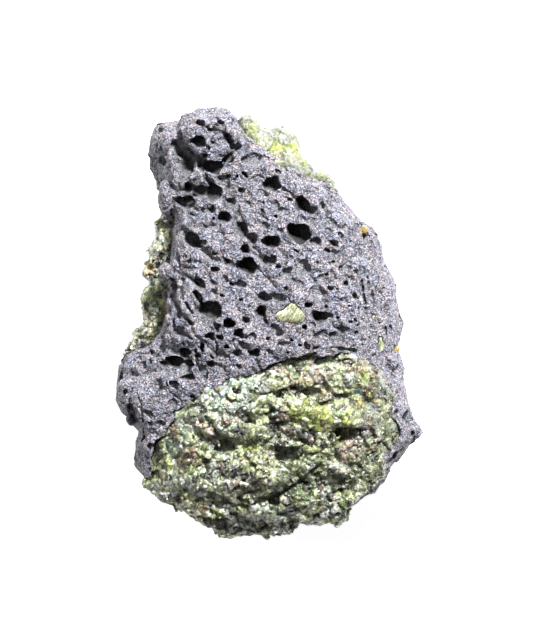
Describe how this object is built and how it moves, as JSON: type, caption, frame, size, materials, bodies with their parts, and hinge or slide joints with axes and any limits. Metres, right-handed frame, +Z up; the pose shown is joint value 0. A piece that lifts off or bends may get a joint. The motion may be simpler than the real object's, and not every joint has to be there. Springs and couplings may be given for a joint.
{
  "type": "olivine basalt specimen",
  "caption": "Hand-sized piece of grey vesicular basalt with granular green olivine nodules and small olivine crystals, lying on its flattest side.",
  "frame": {"origin": "middle of the footprint, on the surface the stone rests on", "axes": "+Y along the stone towards its narrow end, +X across it, +Z up out of the broken face; the large olivine nodule is at the -Y end"},
  "size_m": [0.0596, 0.0863, 0.0399],
  "materials": {
    "basalt": "rough, full of gas bubbles, matt",
    "granular_olivine": "granular, glassy broken grains",
    "clear_olivine": "vitreous, pale yellow-green, see-through"
  },
  "bodies": {
    "root": {"basalt_host": "basalt", "front_olivine_nodule": "granular_olivine", "left_olivine_nodule": "granular_olivine", "top_olivine_nodule": "clear_olivine", "face_olivine_crystal": "clear_olivine", "shoulder_olivine_crystal": "clear_olivine", "flank_olivine_crystal": "clear_olivine", "groove_olivine_crystal": "clear_olivine", "edge_olivine_crystal": "clear_olivine"}
  },
  "joints": []
}
